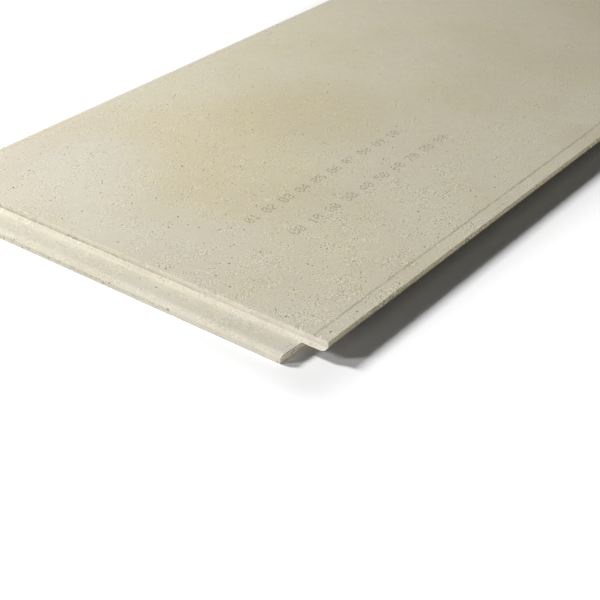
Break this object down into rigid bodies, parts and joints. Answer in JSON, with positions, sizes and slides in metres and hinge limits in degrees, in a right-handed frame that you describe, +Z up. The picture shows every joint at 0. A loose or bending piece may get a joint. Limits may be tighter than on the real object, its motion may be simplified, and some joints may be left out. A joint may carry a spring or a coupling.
{
  "type": "shiplap gypsum-fibre board",
  "caption": "Flat rectangular board of pressed gypsum fibre for dry floors, milled around its edges to a stepped shiplap section, so that neighbouring boards overlap and lie flush.",
  "frame": {"origin": "centre of the board's outline, at the level of its underside", "axes": "+X along the length, towards the short side that ends in the lip; +Y across the width, towards the long side that ends in the tongue; +Z up, out of the face that is laid upwards"},
  "size_m": [1.235, 0.635, 0.023],
  "materials": {
    "gypsum_fibre": "matte"
  },
  "bodies": {
    "root": {"board": "gypsum_fibre"}
  },
  "joints": []
}
